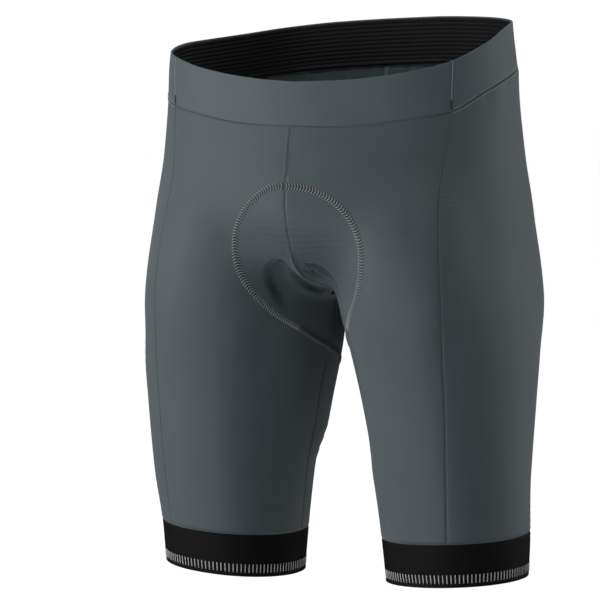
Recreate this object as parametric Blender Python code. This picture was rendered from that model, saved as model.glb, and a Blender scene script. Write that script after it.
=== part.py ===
# Cycling shorts, filled out with no wearer: stretch cloth panels, a folded waistband with
# ribbed elastic inside its back, gripper hem bands and a moulded seat pad.
# Sizes are millimetres, +Z up, the front towards -Y, the wearer's left towards +X,
# and the origin is in the middle of the waist, where the wearer holds the shorts.
import bmesh
import bpy
import numpy as np

MM = 0.001

# Cloth and elastic
PANEL_WALL = 1.2
BAND_WALL = 1.6
HEM_WALL = 1.6
ELASTIC_WALL = 1.2
RIB_HEIGHT = 0.6
RIB_COUNT = 11
ELASTIC_HEIGHT = 46.0
ELASTIC_DROP = 1.5
SEAM_GAP = 0.32
HEM_BAND_HEIGHT = 43.0
# The waistband's side seams lean back towards the top edge, in degrees round the waist
BAND_LEAN = 1.5
# Name: colour and roughness
CLOTHS = {
    "main_fabric": ((0.085, 0.105, 0.113), 0.62),
    "waistband_fabric": ((0.105, 0.13, 0.138), 0.6),
    "ribbed_elastic": ((0.012, 0.012, 0.013), 0.7),
    "hem_gripper": ((0.011, 0.011, 0.012), 0.75),
    "seat_pad": ((0.03, 0.42, 0.2), 0.55),
}

# Seat pad, measured along the rise seam and out from it
PAD_START = 132.0
PAD_THICKNESS = 9.0
PAD_EDGE = 1.6
PAD_CLEARANCE = 3.0

# Rows and columns of the panels
RISE_ROWS = 14
LEG_ROWS = 10
FRONT_COLUMNS = 12
SIDE_COLUMNS = 7
BACK_COLUMNS = 13
CROWDING = 1.4
SMOOTHING = 3
BAND_ROWS = 3
PAD_ROWS = 24
PAD_END_CROWDING = 0.6
PAD_STRIDES = 5
PAD_COLUMNS = 8
CURVE_POINTS = 400
CORNER_ROUNDS = 8
HEM_ROUNDS = 3
SHARP_ANGLE = 50

# The form that the panels are cut for: seat and waist as one rounded tube that ends in a soft
# floor at the crotch, and a tube for each thigh, all run together softly
SECTION_POWER = 2.23
THIGH_POWER = 2.05
FLOOR_HEIGHT = -240.5
FLOOR_SLOPE = -0.12
FLOOR_SOFTNESS = 59.0
THIGH_SOFTNESS = 27.0
# Where the rays start that find the rise seam, and where the inseam leaves the crotch's slant
SEAT_MIDDLE = (0.0, 5.0, -110.0)
INSEAM_EASE = 60.0
INSEAM_OFFSET = 70.0
SIDE_ROW_LIFT = 6.0


def table(columns, *rows):
    """Name the columns of a table of rows."""
    return dict(zip(columns.split(), np.array(rows, float).T))


TORSO = table(
    "height half_width half_depth centre_y",
    (60, 168, 122, 0),
    (10, 172, 123, 0),
    (-20, 176, 124, 0),
    (-60, 178.5, 126, 2),
    (-110, 182, 140, 5),
    (-160, 188.5, 144, 5.5),
    (-210, 189.5, 126, 4),
    (-270, 184, 90, 0),
)
THIGH = table(
    "height centre_x centre_y half_width half_depth",
    (-110, 84, 4, 70, 106),
    (-160, 90, 4, 88, 130),
    (-200, 95.5, 6, 96, 138),
    (-250, 104, 6, 96, 133),
    (-300, 109.5, 6, 91.5, 121),
    (-350, 113.5, 5.5, 85.5, 108),
    (-400, 116.3, 5.5, 80, 97.5),
    (-465, 118.5, 8, 74, 85),
    (-528, 119.8, 10.3, 70, 74),
)
# Waist edge and waistband seam by angle from the centre front; sway lifts the wearer's left
WAIST = table(
    "angle edge seam sway",
    (0, -37.5, -80.3, 0),
    (15, -35.9, -79.8, -0.8),
    (30, -32.8, -77, -1.7),
    (45, -26.5, -71, -2.5),
    (60, -17.1, -64.2, -2.2),
    (75, -4.6, -48.7, 2.9),
    (90, 7.6, -38.7, 7.3),
    (105, 13.4, -31.5, 8.1),
    (120, 18.1, -28, 7.1),
    (135, 22.4, -24, 5),
    (150, 25.2, -21.8, 3.1),
    (165, 26.1, -20.5, 1.4),
    (180, 26.4, -20, 0),
)
# Side seams by angle round the thigh: 0 is the front, 90 the outside, 180 the back
SIDE_SEAMS = table(
    "height left_front right_front back",
    (-20, 38, 38, 137),
    (-67, 36, 36, 138),
    (-100, 33.5, 32, 139),
    (-125, 28.8, 28.5, 140),
    (-152, 25, 26.5, 141),
    (-190, 22.2, 25, 142),
    (-235, 20, 24.5, 144),
    (-290, 18, 25.5, 146),
    (-350, 17, 28, 148),
    (-420, 15, 30, 149),
    (-490, 13, 31, 150),
)
SIDES = ((1, "left"), (-1, "right"))
HEM = {"height": -528.0, "centre_x": 119.8, "rise": 0.043}
# Half width of the pad along its length, and how full it is there
PAD = table(
    "along half_width fullness",
    (0, 14, 0.15),
    (12, 38, 0.35),
    (40, 57, 0.6),
    (75, 61, 0.8),
    (120, 54, 1.0),
    (165, 50, 1.0),
    (205, 64, 1.0),
    (245, 90, 0.9),
    (280, 99, 0.8),
    (308, 86, 0.5),
    (328, 60, 0.3),
    (340, 26, 0.15),
)


def smooth_curve(places, values, at):
    """A curve with even slopes through the rows of a table."""
    order = np.argsort(places)
    places, values = places[order], values[order]
    slopes = np.gradient(values, places)
    at = np.clip(at, places[0], places[-1])
    row = np.clip(np.searchsorted(places, at, side="right") - 1, 0, len(places) - 2)
    step = places[row + 1] - places[row]
    s = (at - places[row]) / step
    return (
        (2 * s**3 - 3 * s**2 + 1) * values[row]
        + (s**3 - 2 * s**2 + s) * step * slopes[row]
        + (3 * s**2 - 2 * s**3) * values[row + 1]
        + (s**3 - s**2) * step * slopes[row + 1]
    )


def at_height(rows, column, height):
    return smooth_curve(rows["height"], rows[column], height)


def around(column, degrees):
    """Height of a waist line at an angle from the centre front, either way round."""
    turned = (np.asarray(degrees, float) + 180.0) % 360.0 - 180.0
    level = smooth_curve(WAIST["angle"], WAIST[column], np.abs(turned))
    return level + np.sign(turned) * smooth_curve(WAIST["angle"], WAIST["sway"], np.abs(turned))


def tube_distance(x, y, half_width, half_depth, power):
    """How far a point lies outside a rounded tube, measured from its middle line."""
    reach = np.hypot(x, y) + 1e-9
    share = ((np.abs(x) / half_width) ** power + (np.abs(y) / half_depth) ** power) ** (1 / power)
    return reach * (1 - 1 / (share + 1e-9))


def soft_least(a, b, softness):
    overlap = np.maximum(softness - np.abs(a - b), 0) / softness
    return np.minimum(a, b) - overlap**3 * softness / 6


def body_distance(points):
    """Zero on the cloth's outer face, negative inside the shorts."""
    x, y, z = np.moveaxis(points, -1, 0)
    torso = tube_distance(
        x,
        y - at_height(TORSO, "centre_y", z),
        at_height(TORSO, "half_width", z),
        at_height(TORSO, "half_depth", z),
        SECTION_POWER,
    )
    floor = FLOOR_HEIGHT + FLOOR_SLOPE * y - z
    seat = -soft_least(-torso, -floor, FLOOR_SOFTNESS)
    thighs = [
        tube_distance(
            x - side * at_height(THIGH, "centre_x", z),
            y - at_height(THIGH, "centre_y", z),
            at_height(THIGH, "half_width", z),
            at_height(THIGH, "half_depth", z),
            THIGH_POWER,
        )
        for side in (1, -1)
    ]
    return soft_least(soft_least(*thighs, THIGH_SOFTNESS), seat, THIGH_SOFTNESS)


def slope(points, step=0.05):
    """The direction in which the distance grows, which is out of the cloth."""
    parts = []
    for way in np.eye(3) * step:
        parts.append((body_distance(points + way) - body_distance(points - way)) / (2 * step))
    return np.stack(parts, -1)


def outward(points):
    way = slope(points)
    return way / np.linalg.norm(way, axis=-1, keepdims=True)


def settle(points, rounds=6, furthest=15.0):
    """Move points straight onto the cloth's outer face."""
    for _ in range(rounds):
        way = slope(points)
        travel = body_distance(points) / np.maximum((way**2).sum(-1), 1e-6)
        points = points - way * np.clip(travel, -furthest, furthest)[..., None]
    return points


def cast(start, way, furthest=320.0, looks=40, halvings=24):
    """The first point of the cloth out from a start inside it."""
    start = np.asarray(start, float)
    way = way / np.linalg.norm(way, axis=-1, keepdims=True)
    reaches = np.linspace(0, furthest, looks)
    outside = np.stack([body_distance(start + way * reach) > 0 for reach in reaches])
    first = np.maximum(np.argmax(outside, axis=0), 1)
    near, far = reaches[first - 1], reaches[first]
    for _ in range(halvings):
        middle = (near + far) / 2
        beyond = body_distance(start + way * middle[..., None]) > 0
        near, far = np.where(beyond, near, middle), np.where(beyond, middle, far)
    return start + way * ((near + far) / 2)[..., None]


def level_way(degrees):
    angle = np.radians(degrees)
    return np.stack([np.sin(angle), -np.cos(angle), 0 * angle], -1)


def waist_point(degrees, height):
    """A point of the seat or waist by its angle round the middle and its height."""
    degrees, height = np.broadcast_arrays(np.asarray(degrees, float), np.asarray(height, float))
    start = np.stack([0 * height, at_height(TORSO, "centre_y", height), height], -1)
    return cast(start, level_way(degrees))


def waist_angle(points):
    """The angle round the middle of a point of the waist."""
    middle = at_height(TORSO, "centre_y", points[..., 2])
    return np.degrees(np.arctan2(points[..., 0], middle - points[..., 1]))


def thigh_axis(height):
    height = np.asarray(height, float)
    across, back = at_height(THIGH, "centre_x", height), at_height(THIGH, "centre_y", height)
    return np.stack([across, back, height], -1)


def thigh_point(degrees, height):
    """A point of the left thigh by its angle round the thigh and its height."""
    degrees, height = np.broadcast_arrays(np.asarray(degrees, float), np.asarray(height, float))
    return cast(thigh_axis(height), level_way(degrees))


def mirrored(points):
    return points * np.array([-1.0, 1.0, 1.0])


def path_length(points):
    """How far along a path each of its points lies."""
    return np.concatenate([[0], np.cumsum(np.linalg.norm(np.diff(points, axis=0), axis=1))])


def path_points(points, wanted):
    """Points of a path at the wanted distances along it."""
    along = path_length(points)
    return np.stack([np.interp(wanted, along, points[:, k]) for k in range(3)], -1)


def rise_seam(first, last):
    """The centre seam in the middle plane, by angles from the front down and round to the back."""
    angle = np.radians(np.linspace(first, last, CURVE_POINTS))
    start = np.tile(SEAT_MIDDLE, (CURVE_POINTS, 1))
    return cast(start, np.stack([0 * angle, -np.cos(angle), -np.sin(angle)], -1))


CROTCH = cast(np.array([SEAT_MIDDLE]), np.array([[0.0, 0.0, -1.0]]))[0]


def spread(count, crowd):
    """Places from 0 to 1, closer together towards the crotch and the centre seams."""
    even = np.linspace(0, 1, count + 1)
    return {"first": even**CROWDING, "last": 1 - (1 - even) ** CROWDING, "none": even}[crowd]


def centre_edge(top_height, back):
    """The rise seam from the waistband down to the crotch, then the inseam down to the hem band."""
    full = rise_seam(90.0, 230.0 if back else -50.0)
    height = full[:, 2]
    stop = np.argmax(height > top_height)
    share = (top_height - height[stop - 1]) / (height[stop] - height[stop - 1])
    end = full[stop - 1] + (full[stop] - full[stop - 1]) * share
    path = np.vstack([full[:stop], end])[::-1]
    rise = settle(path_points(path, path_length(path)[-1] * spread(RISE_ROWS, "last")))
    rise[:, 0] = 0
    hem_top = hem_line(HEM["centre_x"] - INSEAM_OFFSET)
    heights = CROTCH[2] + (hem_top - CROTCH[2]) * spread(LEG_ROWS, "first")[1:]
    start = thigh_axis(heights)
    ease = np.clip((CROTCH[2] - heights) / INSEAM_EASE, 0, 1)
    start[:, 1] = CROTCH[1] * (1 - ease) + start[:, 1] * ease
    inseam = cast(start, np.tile([-1.0, 0.0, 0.0], (LEG_ROWS, 1)))
    return np.vstack([rise, inseam])


def hem_line(x):
    """Height of the hem band's top seam above the tilted hem."""
    return HEM["height"] + HEM_BAND_HEIGHT + HEM["rise"] * (np.abs(x) - HEM["centre_x"])


def side_edge(column, top_height):
    """A side seam from the waistband to the hem band, its rows level with the centre edge's."""
    rows = RISE_ROWS + LEG_ROWS
    split = CROTCH[2] + SIDE_ROW_LIFT
    heights = np.concatenate([
        top_height + (split - top_height) * spread(RISE_ROWS, "last"),
        split + (HEM["height"] + HEM_BAND_HEIGHT - split) * spread(LEG_ROWS, "first")[1:],
    ])
    edge = thigh_point(at_height(SIDE_SEAMS, column, heights), heights)
    for row in (rows - 1, rows):
        lift = hem_line(edge[row, 0]) - heights[rows]
        heights[row] += lift if row == rows else lift / 2
    return thigh_point(at_height(SIDE_SEAMS, column, heights), heights)


def to_thigh(points, inside_last):
    """Angle round the thigh, reach from its middle line and height."""
    middle = thigh_axis(points[..., 2])
    off = points - middle
    angle = np.degrees(np.arctan2(off[..., 0], -off[..., 1]))
    if inside_last:
        angle = np.where(angle < 0, angle + 360, angle)
    return np.stack([angle, np.hypot(off[..., 0], off[..., 1]), points[..., 2]], -1)


def from_thigh(places):
    angle, reach, height = np.moveaxis(places, -1, 0)
    return thigh_axis(height) + level_way(angle) * reach[..., None]


def fill(top, bottom, first, last, crowd):
    """A grid of places between four edges."""
    v = np.linspace(0, 1, len(first))[:, None, None]
    u = spread(len(top) - 1, crowd)[None, :, None]
    places = (1 - v) * top + v * bottom + (1 - u) * first[:, None] + u * last[:, None]
    top_corners = (1 - u) * top[0] + u * top[-1]
    bottom_corners = (1 - u) * bottom[0] + u * bottom[-1]
    return places - (1 - v) * top_corners - v * bottom_corners


def panel(top, bottom, first, last, crowd):
    """Outer points of a panel: rows from the waistband down, columns from the first edge to the last."""
    edges = [to_thigh(edge, crowd == "last") for edge in (top, bottom, first, last)]
    grid = settle(from_thigh(fill(*edges, crowd)))
    for _ in range(SMOOTHING):
        middle = (grid[:-2, 1:-1] + grid[2:, 1:-1] + grid[1:-1, :-2] + grid[1:-1, 2:]) / 4
        grid[1:-1, 1:-1] = settle(middle, 3)
    grid[0], grid[-1], grid[:, 0], grid[:, -1] = top, bottom, first, last
    return grid


def waist_row(start_angle, end_angle, side, columns, crowd):
    """Points of the waistband seam between two angles on one side."""
    degrees = start_angle + (end_angle - start_angle) * spread(columns, crowd)
    return degrees, waist_point(side * degrees, around("seam", side * degrees))


def hem_row(first, last, columns, crowd):
    """Points of the hem band's top seam between two ends of it."""
    ends = to_thigh(np.stack([first, last]), crowd == "last")
    degrees = ends[0, 0] + (ends[1, 0] - ends[0, 0]) * spread(columns, crowd)
    heights = np.full(columns + 1, HEM["height"] + HEM_BAND_HEIGHT)
    for _ in range(HEM_ROUNDS):
        row = thigh_point(degrees, heights)
        heights = hem_line(row[:, 0])
    row[0], row[-1] = first, last
    return row


def half_panels(side):
    """Front, side and back panel of one half, and the waist angles of their columns."""
    name = "left" if side > 0 else "right"
    centre_front = centre_edge(around("seam", 0), back=False)
    centre_back = centre_edge(around("seam", 180), back=True)
    # where the side seams meet the waistband seam, each from a first guess at its angle
    corners = []
    for column, guess in ((name + "_front", 60.0), ("back", 118.0)):
        angle = guess
        for _ in range(CORNER_ROUNDS):
            height = around("seam", side * angle)
            angle = waist_angle(thigh_point(at_height(SIDE_SEAMS, column, height), height))
        corners.append((float(angle), float(height)))
    front_seam = side_edge(name + "_front", corners[0][1])
    back_seam = side_edge("back", corners[1][1])
    angles, tops = [], []
    for start, end, columns, crowd in (
        (0.0, corners[0][0], FRONT_COLUMNS, "first"),
        (corners[0][0], corners[1][0], SIDE_COLUMNS, "none"),
        (corners[1][0], 180.0, BACK_COLUMNS, "last"),
    ):
        degrees, row = waist_row(start, end, side, columns, crowd)
        angles.append(degrees)
        tops.append(row if side > 0 else mirrored(row))
    tops[0][0], tops[0][-1] = centre_front[0], front_seam[0]
    tops[1][0], tops[1][-1] = front_seam[0], back_seam[0]
    tops[2][0], tops[2][-1] = back_seam[0], centre_back[0]
    hems = [
        hem_row(centre_front[-1], front_seam[-1], FRONT_COLUMNS, "first"),
        hem_row(front_seam[-1], back_seam[-1], SIDE_COLUMNS, "none"),
        hem_row(back_seam[-1], centre_back[-1], BACK_COLUMNS, "last"),
    ]
    grids = [
        panel(tops[0], hems[0], centre_front, front_seam, "first"),
        panel(tops[1], hems[1], front_seam, back_seam, "none"),
        panel(tops[2], hems[2], back_seam, centre_back, "last"),
    ]
    if side < 0:
        grids = [mirrored(grid) for grid in grids]
    return grids, angles


def open_seams(grid, edges):
    """Draw the named edges of a grid in by half the seam gap."""
    opened = grid.copy()
    lines = {
        "top": (np.s_[0, :], np.s_[1, :]),
        "bottom": (np.s_[-1, :], np.s_[-2, :]),
        "first": (np.s_[:, 0], np.s_[:, 1]),
        "last": (np.s_[:, -1], np.s_[:, -2]),
    }
    for edge in edges:
        line, inner = lines[edge]
        way = grid[inner] - grid[line]
        opened[line] = opened[line] + way / np.linalg.norm(way, axis=-1, keepdims=True) * SEAM_GAP / 2
    return opened


def clear_of_middle(points, side):
    """Keep one half's points half a seam gap from the middle plane."""
    kept = points.copy()
    kept[..., 0] = side * np.maximum(side * kept[..., 0], SEAM_GAP / 2)
    return kept


def inward(grid, depth):
    """The grid's points moved into the shorts, straight through the cloth."""
    return grid - outward(grid) * np.asarray(depth)[..., None]


def make_material(name, cloth):
    colour, roughness = CLOTHS[cloth]
    material = bpy.data.materials.new(name)
    material.use_nodes = True
    shader = material.node_tree.nodes["Principled BSDF"]
    shader.inputs["Base Color"].default_value = (*colour, 1.0)
    shader.inputs["Roughness"].default_value = roughness
    shader.inputs["Metallic"].default_value = 0.0
    return material


def wall(name, outer, inner, cloth, collection):
    """One closed piece of cloth between two grids of points."""
    rows, columns = outer.shape[:2]
    shape = bmesh.new()
    for points in (outer, inner):
        made = bmesh.ops.create_grid(shape, x_segments=columns - 1, y_segments=rows - 1, size=0.5)
        for vertex, point in zip(made["verts"], points.reshape(-1, 3)):
            vertex.co = point * MM
    rim = [edge for edge in shape.edges if edge.is_boundary]
    bmesh.ops.bridge_loops(shape, edges=rim)
    bmesh.ops.recalc_face_normals(shape, faces=shape.faces)
    mesh = bpy.data.meshes.new(name)
    shape.to_mesh(mesh)
    shape.free()
    mesh.shade_smooth()
    mesh.set_sharp_from_angle(angle=np.radians(SHARP_ANGLE))
    mesh.materials.append(make_material(name, cloth))
    piece = bpy.data.objects.new(name, mesh)
    collection.objects.link(piece)
    return piece


def make_panels(collection, halves):
    """The six cloth panels."""
    for side, name in SIDES:
        for grid, piece in zip(halves[side][0], ("front", "side", "back")):
            outer = open_seams(grid, ("top", "bottom", "first", "last"))
            inner = inward(outer, PANEL_WALL)
            if piece != "side":
                outer, inner = clear_of_middle(outer, side), clear_of_middle(inner, side)
            wall(f"{piece}_panel_{name}", outer, inner, "main_fabric", collection)


def band_columns(halves):
    """Waist angles of the front and back waistband's columns at the seam, and at the top edge."""
    left, right = halves[1][1], halves[-1][1]
    front = np.concatenate([-right[0][::-1], left[0][1:]])
    back = np.concatenate([left[1], left[2][1:], 360 - right[2][::-1][1:], 360 - right[1][::-1][1:]])
    corner = np.where(front > 0, left[0][-1], right[0][-1])
    width = 180 - np.where(back < 180, left[0][-1], right[0][-1])
    return {
        "front": (front, front * (1 + BAND_LEAN / corner)),
        "back": (back, 180 + (back - 180) * (1 - BAND_LEAN / width)),
    }


def band_rows(columns, drop, height, shares):
    """Rows of a waist piece between its top edge and the seam, or a given height below the edge."""
    seam_angles, top_angles = columns
    rows = []
    for share in shares:
        degrees = top_angles + (seam_angles - top_angles) * share
        top = around("edge", degrees) - drop
        fall = top - around("seam", degrees) if height is None else height
        rows.append(waist_point(degrees, top - fall * share))
    return np.stack(rows)


def make_waistband(collection, columns):
    """The folded front and back waistband."""
    for name in ("front", "back"):
        grid = band_rows(columns[name], 0.0, None, np.linspace(0, 1, BAND_ROWS + 1))
        outer = open_seams(grid, ("bottom", "first", "last"))
        wall(f"waistband_{name}", outer, inward(outer, BAND_WALL), "waistband_fabric", collection)


def make_waist_elastic(collection, columns):
    """The ribbed elastic that lines the back waistband."""
    shares = np.linspace(0, 1, 2 * RIB_COUNT + 1)
    face = open_seams(band_rows(columns["back"], ELASTIC_DROP, ELASTIC_HEIGHT, shares), ("first", "last"))
    behind = BAND_WALL + SEAM_GAP
    ribs = np.where(np.arange(len(shares)) % 2 == 1, RIB_HEIGHT, 0.0)[:, None]
    seen = inward(face, behind + ELASTIC_WALL + np.broadcast_to(ribs, face.shape[:2]))
    wall("waist_elastic", inward(face, behind), seen, "ribbed_elastic", collection)


def make_hem_bands(collection, halves):
    """The two leg grippers, each a strip closed at the inseam."""
    for side, name in SIDES:
        grids = halves[side][0]
        top = np.concatenate([grids[0][-1], grids[1][-1][1:], grids[2][-1][1:]])
        top = top if side > 0 else mirrored(top)
        degrees = np.degrees(np.unwrap(np.radians(to_thigh(top, False)[:, 0])))
        rows = [top]
        for share in np.linspace(0, 1, BAND_ROWS)[1:]:
            rows.append(thigh_point(degrees, top[:, 2] - HEM_BAND_HEIGHT * share))
        grid = open_seams(np.stack(rows), ("top", "first", "last"))
        grid = grid if side > 0 else mirrored(grid)
        wall(f"hem_band_{name}", grid, inward(grid, HEM_WALL), "hem_gripper", collection)


def make_seat_pad(collection):
    """The moulded pad: walked out over the cloth from the rise seam, then moved inside it."""
    path = rise_seam(-40.0, 200.0)
    along = path_length(path)
    front_half = path[: CURVE_POINTS // 2, 2]
    start = along[np.argmin(np.abs(front_half + PAD_START))]
    turn = np.linspace(0, 2 * np.pi, PAD_ROWS + 1)
    stations = PAD["along"][-1] * (turn - PAD_END_CROWDING * np.sin(turn)) / (2 * np.pi)
    spine = path_points(path, start + stations)
    half_width = smooth_curve(PAD["along"], PAD["half_width"], stations)
    walked = [settle(spine)]
    way = np.tile([1.0, 0.0, 0.0], (len(stations), 1))
    for stride in np.diff(spread(PAD_COLUMNS, "first")):
        here = walked[-1]
        for _ in range(PAD_STRIDES):
            before = here
            here = settle(before + way * (half_width * stride / PAD_STRIDES)[:, None], 2)
            way = here - before
            way /= np.linalg.norm(way, axis=-1, keepdims=True)
        walked.append(here)
    half = np.stack(walked, 1)
    half[:, 0, 0] = 0
    grid = np.concatenate([mirrored(half[:, :0:-1]), half], 1)
    out = spread(PAD_COLUMNS, "first")
    across = np.concatenate([-out[:0:-1], out])[None, :]
    full = smooth_curve(PAD["along"], PAD["fullness"], stations)[:, None]
    depth = PAD_EDGE + (PAD_THICKNESS - PAD_EDGE) * full * (1 - across**4)
    back = PANEL_WALL + PAD_CLEARANCE
    outer = inward(grid, back)
    wall("seat_pad", outer, inward(grid, back + depth), "seat_pad", collection)


def main():
    for old in list(bpy.data.objects):
        bpy.data.objects.remove(old)
    collection = bpy.data.collections.new("cycling_shorts")
    bpy.context.scene.collection.children.link(collection)
    halves = {side: half_panels(side) for side, _ in SIDES}
    make_panels(collection, halves)
    columns = band_columns(halves)
    make_waistband(collection, columns)
    make_waist_elastic(collection, columns)
    make_hem_bands(collection, halves)
    make_seat_pad(collection)


main()
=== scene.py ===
# Looks for the cycling shorts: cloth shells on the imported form, sewing, pad, light and camera.
import math

import bmesh
import bpy
import numpy as np
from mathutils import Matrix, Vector


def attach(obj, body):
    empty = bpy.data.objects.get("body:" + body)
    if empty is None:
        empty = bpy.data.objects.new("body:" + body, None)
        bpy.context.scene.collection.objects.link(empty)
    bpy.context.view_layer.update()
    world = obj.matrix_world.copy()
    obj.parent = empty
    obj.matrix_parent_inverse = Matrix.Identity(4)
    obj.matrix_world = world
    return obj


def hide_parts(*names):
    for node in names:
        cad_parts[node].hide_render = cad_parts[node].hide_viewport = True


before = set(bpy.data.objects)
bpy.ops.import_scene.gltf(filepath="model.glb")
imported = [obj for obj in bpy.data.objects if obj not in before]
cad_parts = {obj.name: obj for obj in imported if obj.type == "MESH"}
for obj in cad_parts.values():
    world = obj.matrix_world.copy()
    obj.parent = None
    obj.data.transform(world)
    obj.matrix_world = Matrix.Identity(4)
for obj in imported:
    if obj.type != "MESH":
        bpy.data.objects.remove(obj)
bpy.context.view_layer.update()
print("frame loaded,", len(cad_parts), "nodes")

mm = 0.001


def table(columns, *rows):
    # a short table with named columns
    return dict(zip(columns.split(), np.array(rows, float).T))


# The form that the cloth is stretched over, in millimetres, as the solids have it
form = {
    "sectionPower": 2.23,
    "thighPower": 2.05,
    "floorHeight": -240.5,
    "floorSlope": -0.12,
    "floorSoftness": 59.0,
    "thighSoftness": 27.0,
    "riseCentre": (0.0, 5.0, -110.0),
    "torso": table(
        "height halfWidth halfDepth centreY",
        (60, 168, 122, 0),
        (10, 172, 123, 0),
        (-20, 176, 124, 0),
        (-60, 178.5, 126, 2),
        (-110, 182, 140, 5),
        (-160, 188.5, 144, 5.5),
        (-210, 189.5, 126, 4),
        (-270, 184, 90, 0),
    ),
    "thigh": table(
        "height centreX centreY halfWidth halfDepth",
        (-110, 84, 4, 70, 106),
        (-160, 90, 4, 88, 130),
        (-200, 95.5, 6, 96, 138),
        (-250, 104, 6, 96, 133),
        (-300, 109.5, 6, 91.5, 121),
        (-350, 113.5, 5.5, 85.5, 108),
        (-400, 116.3, 5.5, 80, 97.5),
        (-465, 118.5, 8, 74, 85),
        (-528, 119.8, 10.3, 70, 74),
    ),
}
# Waist edge and waistband seam by angle from the centre front
waist = table(
    "angle edge seam sway",
    (0, -37.5, -80.3, 0),
    (15, -35.9, -79.8, -0.8),
    (30, -32.8, -77, -1.7),
    (45, -26.5, -71, -2.5),
    (60, -17.1, -64.2, -2.2),
    (75, -4.6, -48.7, 2.9),
    (90, 7.6, -38.7, 7.3),
    (105, 13.4, -31.5, 8.1),
    (120, 18.1, -28, 7.1),
    (135, 22.4, -24, 5),
    (150, 25.2, -21.8, 3.1),
    (165, 26.1, -20.5, 1.4),
    (180, 26.4, -20, 0),
)
# Side seams by angle round the thigh: 0 is the front, 90 the outside, 180 the back
sideSeams = table(
    "height leftFront rightFront back",
    (-20, 38, 38, 137),
    (-67, 36, 36, 138),
    (-100, 33.5, 32, 139),
    (-125, 28.8, 28.5, 140),
    (-152, 25, 26.5, 141),
    (-190, 22.2, 25, 142),
    (-235, 20, 24.5, 144),
    (-290, 18, 25.5, 146),
    (-350, 17, 28, 148),
    (-420, 15, 30, 149),
    (-490, 13, 31, 150),
)
hem = {
    "height": -528.0,
    "centreX": 119.8,
    "rise": 0.043,
    "bandHeight": 43.0,
    "rightTilt": 0.036,
    "tiltReach": 110.0,
    "bandRows": 24,
    "thickness": 1.4,
    "edgeRoll": 0.45,
}
mesh = {
    "riseRows": 150,
    "legRows": 70,
    "frontColumns": 96,
    "sideColumns": 46,
    "backColumns": 96,
    "crowding": 0.8,
    "sideSplit": 6.0,
    "inseamInset": 70.0,
    "inseamEase": 60.0,
}


# Measuring on the form

def smoothCurve(places, values, at):
    order = np.argsort(places)
    places, values = places[order], values[order]
    slopes = np.gradient(values, places)
    at = np.clip(at, places[0], places[-1])
    row = np.clip(np.searchsorted(places, at, side="right") - 1, 0, len(places) - 2)
    step = places[row + 1] - places[row]
    s = (at - places[row]) / step
    return (
        (2 * s**3 - 3 * s**2 + 1) * values[row]
        + (s**3 - 2 * s**2 + s) * step * slopes[row]
        + (3 * s**2 - 2 * s**3) * values[row + 1]
        + (s**3 - s**2) * step * slopes[row + 1]
    )


def atHeight(rows, column, height):
    return smoothCurve(rows["height"], rows[column], height)


def around(column, degrees):
    # height of a waist line at an angle from the centre front, either way round
    turned = (np.asarray(degrees, float) + 180.0) % 360.0 - 180.0
    level = smoothCurve(waist["angle"], waist[column], np.abs(turned))
    return level + np.sign(turned) * smoothCurve(waist["angle"], waist["sway"], np.abs(turned))


def tubeDistance(x, y, halfWidth, halfDepth, power):
    reach = np.hypot(x, y) + 1e-9
    share = ((np.abs(x) / halfWidth) ** power + (np.abs(y) / halfDepth) ** power) ** (1 / power)
    return reach * (1 - 1 / (share + 1e-9))


def softLeast(a, b, softness):
    overlap = np.maximum(softness - np.abs(a - b), 0) / softness
    return np.minimum(a, b) - overlap**3 * softness / 6


def formDistance(points):
    # zero on the cloth's outer face, negative inside the shorts
    x, y, z = np.moveaxis(points, -1, 0)
    torso, thigh = form["torso"], form["thigh"]
    seat = tubeDistance(
        x,
        y - atHeight(torso, "centreY", z),
        atHeight(torso, "halfWidth", z),
        atHeight(torso, "halfDepth", z),
        form["sectionPower"],
    )
    floor = form["floorHeight"] + form["floorSlope"] * y - z
    seat = -softLeast(-seat, -floor, form["floorSoftness"])
    legs = [
        tubeDistance(
            x - side * atHeight(thigh, "centreX", z),
            y - atHeight(thigh, "centreY", z),
            atHeight(thigh, "halfWidth", z),
            atHeight(thigh, "halfDepth", z),
            form["thighPower"],
        )
        for side in (1, -1)
    ]
    return softLeast(softLeast(*legs, form["thighSoftness"]), seat, form["thighSoftness"])


def slope(points, step=0.05):
    rises = [formDistance(points + way) - formDistance(points - way) for way in np.eye(3) * step]
    return np.stack(rises, -1) / (2 * step)


def outward(points):
    way = slope(points)
    return way / np.linalg.norm(way, axis=-1, keepdims=True)


def settle(points, rounds=6, furthest=15.0):
    # move points straight onto the cloth's outer face
    for _ in range(rounds):
        way = slope(points)
        travel = formDistance(points) / np.maximum((way**2).sum(-1), 1e-6)
        points = points - way * np.clip(travel, -furthest, furthest)[..., None]
    return points


def cast(start, way, furthest=320.0, looks=40, halvings=24):
    # the first point of the cloth out from a start inside it
    start = np.asarray(start, float)
    way = way / np.linalg.norm(way, axis=-1, keepdims=True)
    reaches = np.linspace(0, furthest, looks)
    outside = np.stack([formDistance(start + way * reach) > 0 for reach in reaches])
    first = np.maximum(np.argmax(outside, axis=0), 1)
    near, far = reaches[first - 1], reaches[first]
    for _ in range(halvings):
        middle = (near + far) / 2
        beyond = formDistance(start + way * middle[..., None]) > 0
        near, far = np.where(beyond, near, middle), np.where(beyond, middle, far)
    return start + way * ((near + far) / 2)[..., None]


def levelWay(degrees):
    angle = np.radians(degrees)
    return np.stack([np.sin(angle), -np.cos(angle), 0 * angle], -1)


def waistPoint(degrees, height):
    degrees, height = np.broadcast_arrays(np.asarray(degrees, float), np.asarray(height, float))
    start = np.stack([0 * height, atHeight(form["torso"], "centreY", height), height], -1)
    return cast(start, levelWay(degrees))


def waistAngle(points):
    middle = atHeight(form["torso"], "centreY", points[..., 2])
    return np.degrees(np.arctan2(points[..., 0], middle - points[..., 1]))


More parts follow.
